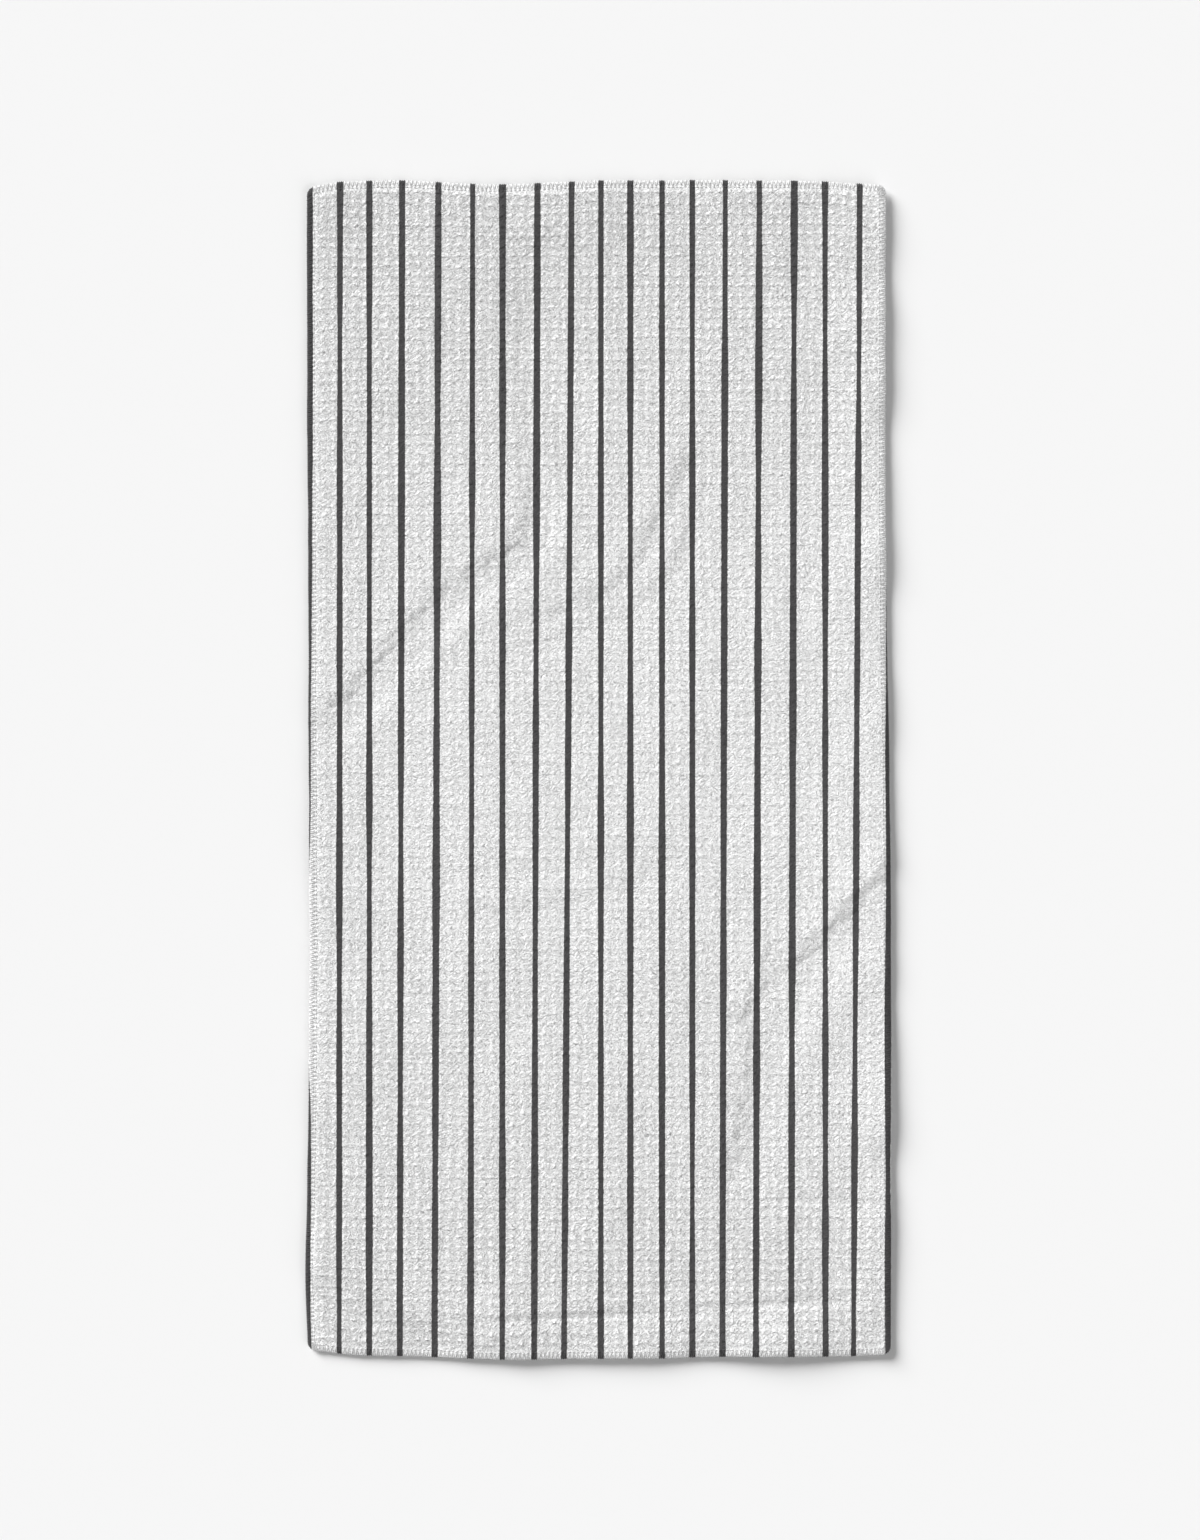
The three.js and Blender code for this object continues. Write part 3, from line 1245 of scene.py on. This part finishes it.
@dataclass
class WaffleCloth:
    """The towel's cloth: a closed sheet with its waffle relief on both sides.

    Raised ridges cross every few millimetres and stand highest where they cross. Towards the
    seam the relief dies out, and the cloth is pressed thin where the threads wrap it.
    """

    size: TowelSize
    drape: Drape
    lines: PrintedLines
    cells_across: int = 54
    cells_along: int = 112
    quads_per_cell: int = 3
    field_inset: float = 6.4
    pressed_thickness: float = 1.5
    edge_inset: float = 0.6
    ridge_height: float = 0.32
    pit_depth: float = 0.24
    # The back's relief is the face's turned inside out, and a little lower.
    back_share: float = 0.8
    nap_height: float = 0.05
    loft_clearance: float = 0.1
    # The plumpness in the middle, and what the ends and the top left corner add to it.
    middle_plumpness: float = 0.62
    end_plumpness: float = 0.55
    corner_plumpness: float = 0.04
    uneven_plumpness: float = 0.03
    # Where the cloth starts to swell, before the waffle field, and over what width.
    swell_before: float = 1.2
    swell_width: float = 3.0

    @property
    def rim_inset(self) -> float:
        """Where the flat cloth gives way to its rounded cut edge."""
        return self.edge_inset + self.pressed_thickness / 2.0

    def grid_lines(self, half: float, cells: int) -> np.ndarray:
        """Lays out grid lines from one edge of the cloth to the other.

        Args:
            half: Half the finished size in this direction.
            cells: How many waffle cells fit inside the seams.

        Returns:
            The lines' places: three in each seam, and a few for each cell between.
        """
        rim = half - self.rim_inset
        outer = [rim, (rim + half - self.field_inset) / 2.0 + 0.5, half - self.field_inset + 1.0]
        inner = np.linspace(
            -(half - self.field_inset), half - self.field_inset, cells * self.quads_per_cell + 1
        )
        return np.concatenate([-np.array(outer), inner, outer[::-1]])

    def weave(self, x: np.ndarray, y: np.ndarray) -> np.ndarray:
        """Counts waffle cells at places on the cloth, and says how plump they are there.

        Args:
            x: Places across the flat pattern.
            y: Places along it.

        Returns:
            One row of cells across, cells along and plumpness for each place.
        """
        cell_x = 2.0 * (self.size.half_width - self.field_inset) / self.cells_across
        cell_y = 2.0 * (self.size.half_length - self.field_inset) / self.cells_along
        across = (x + self.size.half_width - self.field_inset) / cell_x
        along = (y + self.size.half_length - self.field_inset) / cell_y
        # The rows and columns of the weave wander a little, as washed cloth does.
        across = across + 0.08 * Ripple(35.0, 110.0, 31).at(x, y)
        along = along + 0.09 * Ripple(35.0, 110.0, 32).at(x, y)
        # The weave is plumper towards the ends, most at the top left, than in the middle, and the
        # material paints its deeper pits there with more painted shade.
        ends = np.abs(y / self.size.half_length) ** 1.5
        tilt = y / self.size.half_length - x / self.size.half_width
        plump = self.middle_plumpness + self.end_plumpness * ends + self.corner_plumpness * tilt
        plump = plump + self.uneven_plumpness * Ripple(25.0, 90.0, 21).at(x, y)
        plump = self.fullness(x, y) * np.clip(plump, 0.25, 1.4)
        return np.stack([across, along, plump], axis=-1)

    def relief(self, x: np.ndarray, y: np.ndarray) -> np.ndarray:
        """Gives the waffle's height above the cloth's middle face level.

        Args:
            x: Places across the flat pattern.
            y: Places along it.

        Returns:
            One height for each place, above zero on the ridges.
        """
        across, along, plump = np.moveaxis(self.weave(x, y), -1, 0)
        turn = 2.0 * math.pi
        wave = 0.5 * np.cos(turn * across) + 0.5 * np.cos(turn * along)
        height = np.where(wave > 0, self.ridge_height * wave, self.pit_depth * 2.0 * wave)
        return height * plump

    def fullness(self, x: np.ndarray, y: np.ndarray) -> np.ndarray:
        """Gives how far the cloth has swelled to its full thickness inside the seam.

        Args:
            x: Places across the flat pattern.
            y: Places along it.

        Returns:
            A share for each place, from 0 in the seam to 1 on the waffle field.
        """
        inside = np.minimum(self.size.half_width - np.abs(x), self.size.half_length - np.abs(y))
        return smooth_step((inside - self.field_inset + self.swell_before) / self.swell_width)

    def lift(self, x: np.ndarray, y: np.ndarray, side: Side) -> np.ndarray:
        """Gives the cloth's surface height in the flat pattern.

        Args:
            x: Places across the flat pattern.
            y: Places along it.
            side: Which side of the cloth.

        Returns:
            One signed height for each place.
        """
        full = self.fullness(x, y)
        plain = self.size.thickness / 2.0 - self.ridge_height - self.loft_clearance
        pressed = self.pressed_thickness / 2.0
        relief = self.relief(x, y)
        if side is Side.BACK:
            relief = -self.back_share * relief
        surface = pressed + (plain - pressed) * full + relief
        if side is Side.FACE:
            random = np.random.default_rng(3)
            surface = surface + full * random.normal(0.0, self.nap_height, np.shape(x))
        return side.value * surface

    def side_grid(self, side: Side, stride: int) -> bmesh.types.BMesh:
        """Makes one side of the cloth in the flat pattern.

        Args:
            side: Which side.
            stride: 1 for every grid line, 2 for every second one.

        Returns:
            A grid with square corners drawn in round.
        """
        columns = self.grid_lines(self.size.half_width, self.cells_across)[::stride]
        rows = self.grid_lines(self.size.half_length, self.cells_along)[::stride]
        grid, _, column, row = unit_grid(len(columns) - 1, len(rows) - 1)
        x, y = columns[column], rows[row]
        lift = self.lift(x, y, side)
        x, y = self.size.round_corners(x, y)
        for vertex, place in zip(grid.verts, zip(x, y, lift)):
            vertex.co = place
        if side is Side.BACK:
            bmesh.ops.reverse_faces(grid, faces=grid.faces[:])
        return grid

    def wrap_edge(self, sheet: bmesh.types.BMesh) -> list[bmesh.types.BMEdge]:
        """Carries the face's rim round the cut edge to the back, in three turns.

        Args:
            sheet: The face's grid.

        Returns:
            The edges of the last turn.
        """
        rim = [edge for edge in sheet.edges if edge.is_boundary]
        radius = self.pressed_thickness / 2.0
        for degrees in (45.0, 0.0, -45.0):
            made = bmesh.ops.extrude_edge_only(sheet, edges=rim)["geom"]
            rim = [part for part in made if isinstance(part, bmesh.types.BMEdge)]
            vertices = [part for part in made if isinstance(part, bmesh.types.BMVert)]
            rim = [edge for edge in rim if edge.is_boundary]
            angle = math.radians(degrees)
            before = math.radians(degrees + 45.0)
            step = radius * (math.cos(angle) - math.cos(before))
            x, y = (np.array([v.co[i] for v in vertices]) for i in (0, 1))
            out_x, out_y = self.size.outward(x, y)
            for vertex, dx, dy in zip(vertices, out_x * step, out_y * step):
                vertex.co.x += dx
                vertex.co.y += dy
                vertex.co.z = radius * math.sin(angle)
        return rim

    def pattern(self) -> bpy.types.Mesh:
        """Builds the closed sheet in the flat pattern.

        Returns:
            The mesh, in millimetres.
        """
        sheet = self.side_grid(Side.FACE, 1)
        face_rim = self.wrap_edge(sheet)
        back = self.side_grid(Side.BACK, 2)
        mesh = bpy.data.meshes.new("towel_back_pattern")
        back.to_mesh(mesh)
        back.free()
        known = set(sheet.verts)
        sheet.from_mesh(mesh)
        bpy.data.meshes.remove(mesh)
        back_rim = [e for e in sheet.edges if e.is_boundary and e.verts[0] not in known]
        bmesh.ops.bridge_loops(sheet, edges=face_rim + back_rim)
        bmesh.ops.triangulate(sheet, faces=[f for f in sheet.faces if len(f.verts) > 4])
        bmesh.ops.recalc_face_normals(sheet, faces=sheet.faces[:])
        open_edges = sum(1 for edge in sheet.edges if not edge.is_manifold)
        log.info("cloth pattern: %d open edges", open_edges)
        mesh = bpy.data.meshes.new("towel_cloth")
        sheet.to_mesh(mesh)
        sheet.free()
        return mesh

    def add_bake_map(self, mesh: bpy.types.Mesh, flat: np.ndarray) -> None:
        """Lays the two sides out side by side in a map that other programs can paint on.

        Args:
            mesh: The cloth's mesh.
            flat: Its vertices in the flat pattern.
        """
        corners = np.empty(len(mesh.loops), dtype=np.int32)
        mesh.loops.foreach_get("vertex_index", corners)
        faces = np.empty(len(mesh.polygons), dtype=np.int32)
        mesh.polygons.foreach_get("loop_total", faces)
        owner = np.repeat(np.arange(len(faces)), faces)
        lift = np.bincount(owner, flat[corners, 2], len(faces)) / faces
        margin = 0.004
        across = flat[corners, 0] / self.size.width + 0.5
        along = flat[corners, 1] / self.size.length + 0.5
        strip = 0.5 - 2.0 * margin
        start = np.where(lift[owner] > 0, margin, 0.5 + margin)
        layer = mesh.uv_layers.new(name=BAKE_MAP)
        uv = np.stack([start + across * strip, margin + along * (1.0 - 2.0 * margin)], axis=1)
        layer.uv.foreach_set("vector", uv.astype(np.float32).ravel())

    def build(self, material: bpy.types.Material) -> bpy.types.Object:
        """Builds the cloth where it lies.

        Args:
            material: The cloth's material.

        Returns:
            The finished piece.
        """
        mesh = self.pattern()
        flat = vertex_places(mesh)
        laid = self.drape.place(flat[:, 0], flat[:, 1], flat[:, 2])
        self.add_bake_map(mesh, flat)
        mesh.vertices.foreach_set("co", (laid * MM).astype(np.float32).ravel())
        weave = self.weave(flat[:, 0], flat[:, 1])
        store_vectors(mesh, WEAVE_PLACE, weave)
        places = self.lines.printed(laid, flat[:, 2])
        return finish_piece(mesh, "waffle_cloth", material, places)


@dataclass
class OverlockSeam:
    """The three-thread overlock seam that runs round the whole towel.

    The needle thread lies on the face as a row of short plump stitches. The upper looper's
    thread runs from each stitch out to the cut edge and back, and the lower looper's does the
    same on the back, half a stitch behind, so that the two meet on the edge.
    """

    size: TowelSize
    drape: Drape
    lines: PrintedLines
    stitch_length: float = 2.9
    needle_stitch_length: float = 2.0
    needle_stitch_width: float = 0.95
    needle_stitch_height: float = 0.7
    looper_radius: float = 0.25
    cloth_half_thickness: float = 0.75
    # How unevenly the seam was sewn: the needle line's wander, the range of its stitches'
    # sizes, and the share by which the loops' depth varies.
    needle_wander: float = 0.12
    needle_sizes: tuple[float, float] = (0.85, 1.12)
    looper_unevenness: float = 0.06

    @property
    def path(self) -> SeamPath:
        """The way round the towel."""
        return SeamPath(self.size)

    @property
    def stitches(self) -> int:
        """How many stitches close up evenly round the towel."""
        return round(self.path.round_length / self.stitch_length)

    def dress(
        self, mesh: bpy.types.Mesh, name: str, material: bpy.types.Material
    ) -> bpy.types.Object:
        """Finishes one thread's mesh as a piece.

        Args:
            mesh: The mesh, in metres.
            name: The piece's name.
            material: The thread's material.

        Returns:
            The finished piece.
        """
        laid = vertex_places(mesh) / MM
        height = laid[:, 2] - self.drape.middle_under(laid[:, 0], laid[:, 1])
        return finish_piece(mesh, name, material, self.lines.printed(laid, height))

    def needle_thread(self, material: bpy.types.Material) -> bpy.types.Object:
        """Builds the row of needle stitches on the face.

        Args:
            material: The thread's material.

        Returns:
            The finished piece.
        """
        random = np.random.default_rng(7)
        travel = np.arange(self.stitches) * self.path.round_length / self.stitches
        inset = self.size.needle_inset + random.normal(0.0, self.needle_wander, self.stitches)
        ahead = 0.5
        x, y = self.path.at(travel, inset)
        next_x, next_y = self.path.at(travel + ahead, inset)
        lift = np.full(self.stitches, self.cloth_half_thickness + 0.15)
        here = self.drape.place(x, y, lift)
        forward = self.drape.place(next_x, next_y, lift) - here
        above = self.drape.place(x, y, lift + 1.0) - here
        sizes = (self.needle_stitch_length, self.needle_stitch_width, self.needle_stitch_height)
        stitch = bmesh.new()
        bmesh.ops.create_uvsphere(stitch, u_segments=8, v_segments=5, radius=0.5)
        bmesh.ops.scale(stitch, vec=sizes, verts=stitch.verts[:])
        forward /= np.linalg.norm(forward, axis=1)[:, None]
        above /= np.linalg.norm(above, axis=1)[:, None]
        turns = np.stack([forward, np.cross(above, forward), above], axis=1)
        turns *= random.uniform(*self.needle_sizes, self.stitches)[:, None, None]
        mesh = repeated(stitch, "needle_thread", here, turns)
        stitch.free()
        return self.dress(mesh, "needle_stitches", material)

    def looper_thread(
        self, name: str, side: Side, material: bpy.types.Material
    ) -> bpy.types.Object:
        """Builds one looper's thread as a single unbroken zigzag round the towel.

        Args:
            name: The piece's name.
            side: The side of the cloth that it covers.
            material: The thread's material.

        Returns:
            The finished piece.
        """
        # One stitch, as the share of its length travelled, the inset, and the height above
        # the middle of the cloth: out from the needle line, over the edge and back.
        needle = self.size.needle_inset - 0.45
        high = self.cloth_half_thickness + 0.75 * self.looper_radius
        stitch = (
            (0.00, needle, self.cloth_half_thickness),
            (0.14, needle - 1.2, high),
            (0.30, 2.2, high),
            (0.46, 0.75, high * 0.72),
            (0.55, 0.30, -0.06),
            (0.64, 0.75, high * 0.72),
            (0.76, 2.2, high),
            (0.90, needle - 1.2, high),
        )
        shares, insets, lifts = (np.tile(np.array(part), self.stitches) for part in zip(*stitch))
        number = np.repeat(np.arange(self.stitches), len(stitch))
        start = 0.0 if side is Side.FACE else 0.5
        pitch = self.path.round_length / self.stitches
        random = np.random.default_rng(17 + side.value)
        depths = 1.0 + self.looper_unevenness * random.normal(0.0, 1.0, self.stitches)
        uneven = np.repeat(depths, len(stitch))
        x, y = self.path.at((number + shares + start) * pitch, insets * uneven)
        laid = self.drape.place(x, y, lifts * side.value)
        curve = bpy.data.curves.new(name, "CURVE")
        curve.dimensions = "3D"
        curve.bevel_depth = self.looper_radius * MM
        curve.bevel_resolution = 1
        curve.use_fill_caps = False
        spline = curve.splines.new("POLY")
        spline.points.add(len(laid) - 1)
        rows = np.column_stack([laid * MM, np.ones(len(laid))])
        spline.points.foreach_set("co", rows.astype(np.float32).ravel())
        spline.use_cyclic_u = True
        holder = bpy.data.objects.new(name, curve)
        bpy.context.scene.collection.objects.link(holder)
        solid = holder.evaluated_get(bpy.context.evaluated_depsgraph_get())
        mesh = bpy.data.meshes.new_from_object(solid)
        bpy.data.objects.remove(holder)
        bpy.data.curves.remove(curve)
        return self.dress(mesh, name, material)


# ---------------------------------------------------------------------------------------------
# The stage


@dataclass(frozen=True)
class Softbox:
    """A large soft light far from the object, by where it stands and how wide it looks.

    Angles are in degrees, and the azimuth is measured anticlockwise from the towel's right.
    """

    name: str
    azimuth: float
    elevation: float
    softness: float
    strength: float

    def add(self) -> None:
        """Adds the light to the scene."""
        light = bpy.data.lights.new(self.name, "SUN")
        light.energy = self.strength
        light.angle = math.radians(self.softness)
        holder = bpy.data.objects.new(self.name, light)
        elevation, azimuth = math.radians(self.elevation), math.radians(self.azimuth)
        level = math.cos(elevation)
        towards = Vector(
            (level * math.cos(azimuth), level * math.sin(azimuth), math.sin(elevation))
        )
        holder.rotation_euler = towards.to_track_quat("Z", "Y").to_euler()
        bpy.context.scene.collection.objects.link(holder)


@dataclass
class Studio:
    """A pale floor, soft studio light from the upper left, and a camera straight above."""

    size: TowelSize
    # How much of the floor the picture's height takes in, and how far the camera stands to
    # the towel's right, in millimetres.
    view_height: float = 1078.0
    aside: float = 1.0
    lens: float = 100.0
    sensor: float = 36.0
    floor_size: float = 8.0
    key: Softbox = Softbox("key_softbox", 135.0, 26.0, 34.0, 5.5)
    opposite: Softbox = Softbox("opposite_softbox", -45.0, 30.0, 50.0, 1.3)
    fill_strength: float = 0.165
    ground: str = "F6F6F6"

    def add_floor(self) -> None:
        """Lays the background paper that the towel rests on."""
        mesh = flat_square("floor", self.floor_size)
        mesh.materials.append(MattPaper().make())
        floor = bpy.data.objects.new("floor", mesh)
        bpy.context.scene.collection.objects.link(floor)
        floor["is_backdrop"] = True

    def add_light(self) -> None:
        """Sets the two softboxes and the even fill of a white studio."""
        self.key.add()
        self.opposite.add()
        world = bpy.data.worlds.new("studio")
        world.use_nodes = True
        tree = world.node_tree
        background = tree.nodes["Background"]
        background.inputs["Color"].default_value = (1.0, 1.0, 1.0, 1.0)
        # Seen directly, the studio wall is as pale as the floor; as a light it is only a fill.
        path = add_node(tree, "ShaderNodeLightPath")
        strength = add_node(
            tree,
            "ShaderNodeMapRange",
            values={"To Min": self.fill_strength, "To Max": linear(self.ground)[0]},
            links={"Value": path.outputs["Is Camera Ray"]},
        )
        tree.links.new(strength.outputs[0], background.inputs["Strength"])
        bpy.context.scene.world = world

    def add_camera(self) -> None:
        """Hangs the camera straight above the towel, with the printed lines upright."""
        camera = bpy.data.cameras.new("camera")
        camera.lens = self.lens
        camera.sensor_width = self.sensor
        camera.clip_end = 20.0
        holder = bpy.data.objects.new("camera", camera)
        distance = self.view_height * self.lens / self.sensor
        holder.location = (self.aside * MM, 0.0, distance * MM)
        bpy.context.scene.collection.objects.link(holder)
        bpy.context.scene.camera = holder

    def build(self) -> None:
        """Sets up the whole stage."""
        self.add_floor()
        self.add_light()
        self.add_camera()
        # The plain transform keeps the pale colours as they are given.
        bpy.context.scene.view_settings.view_transform = "Standard"


# ---------------------------------------------------------------------------------------------
# The towel as a whole


def main() -> None:
    """Builds the towel and its stage, and puts its pieces in place of the imported parts."""
    logging.basicConfig(level=logging.INFO, format="%(name)s: %(message)s")
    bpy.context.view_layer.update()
    size = TowelSize.from_frame()
    log.info("towel %.1f x %.1f x %.1f mm", size.width, size.length, size.thickness)
    Studio(size).build()

    drape = Drape(size)
    drape.settle()
    lines = PrintedLines(size)
    cloth_material = WaffleMicrofibre(lines).make()
    thread_material = SpunPolyester(lines).make()

    cloth = WaffleCloth(size, drape, lines).build(cloth_material)
    seam = OverlockSeam(size, drape, lines)
    needle = seam.needle_thread(thread_material)
    upper = seam.looper_thread("upper_looper_loops", Side.FACE, thread_material)
    lower = seam.looper_thread("lower_looper_loops", Side.BACK, thread_material)

    for piece, node in (
        (cloth, "towel_cloth"),
        (needle, "needle_thread"),
        (upper, "upper_looper_thread"),
        (lower, "lower_looper_thread"),
    ):
        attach(piece, "root")
        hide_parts(node)


if __name__ == "__main__":
    main()
